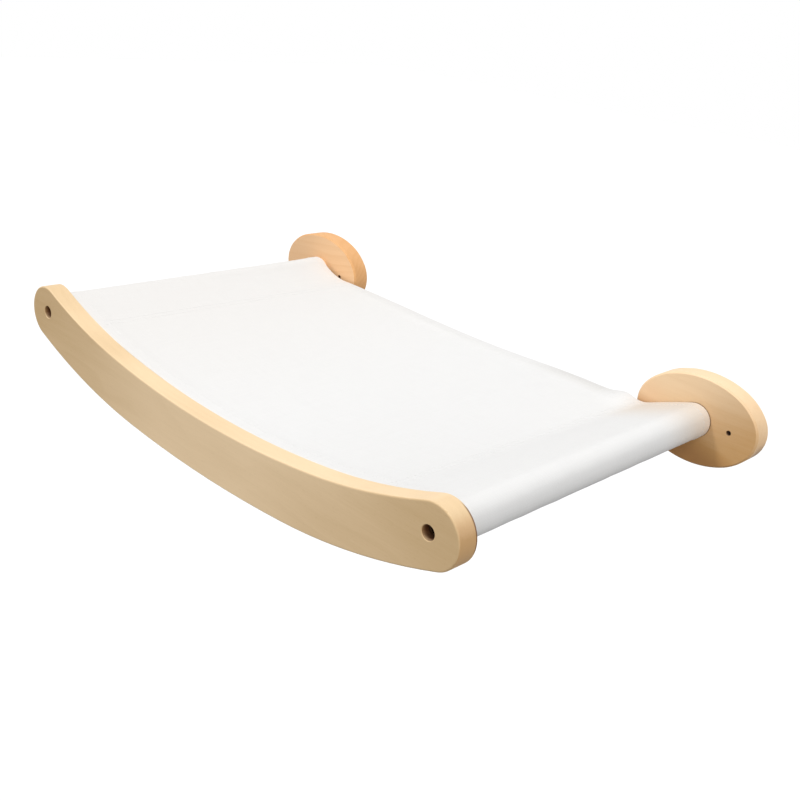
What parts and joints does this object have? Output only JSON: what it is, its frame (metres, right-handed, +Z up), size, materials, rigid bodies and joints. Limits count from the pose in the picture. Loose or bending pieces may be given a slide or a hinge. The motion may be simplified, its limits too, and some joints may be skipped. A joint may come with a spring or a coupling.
{
  "type": "wall-mounted cat hammock",
  "caption": "Wall-mounted cat hammock: a curved wooden front rail on round dowels that stand out from oval wall plates, with a canvas sling sewn into pockets round the dowels.",
  "frame": {"origin": "on the wall, midway between the two dowel axes and level with them: the centre of the wall screws' pattern", "axes": "+X along the wall to the right as seen from the room, +Y into the wall, +Z up"},
  "size_m": [0.558, 0.328, 0.0954],
  "materials": {
    "rail_wood": "pale hardwood, sanded smooth, clear satin",
    "dowel_wood": "pale hardwood dowel stock, sanded",
    "plate_wood": "pale hardwood, sanded smooth, clear satin",
    "canvas": "off-white plain-weave cotton canvas",
    "black_steel": "black oxide, socket-head bolts",
    "plated_steel": "bright zinc plate",
    "insert_metal": "turned brass"
  },
  "bodies": {
    "hammock_frame": {"front_rail": "rail_wood", "left_dowel": "dowel_wood", "right_dowel": "dowel_wood", "sling_cloth": "canvas", "left_rail_bolt": "black_steel", "right_rail_bolt": "black_steel", "left_plate_bolt": "black_steel", "right_plate_bolt": "black_steel", "left_plate_washer": "plated_steel", "right_plate_washer": "plated_steel", "left_front_insert": "insert_metal", "right_front_insert": "insert_metal", "left_rear_insert": "insert_metal", "right_rear_insert": "insert_metal"},
    "left_plate": {"left_wall_plate": "plate_wood"},
    "right_plate": {"right_wall_plate": "plate_wood"}
  },
  "joints": [
    {"name": "left_plate_swivel", "type": "hinge", "parent": "hammock_frame", "child": "left_plate", "pos_m": [-0.225, -0.00875, 0], "axis": [0, 1, 0], "continuous": true},
    {"name": "right_plate_swivel", "type": "hinge", "parent": "hammock_frame", "child": "right_plate", "pos_m": [0.225, -0.00875, 0], "axis": [0, 1, 0], "continuous": true}
  ]
}
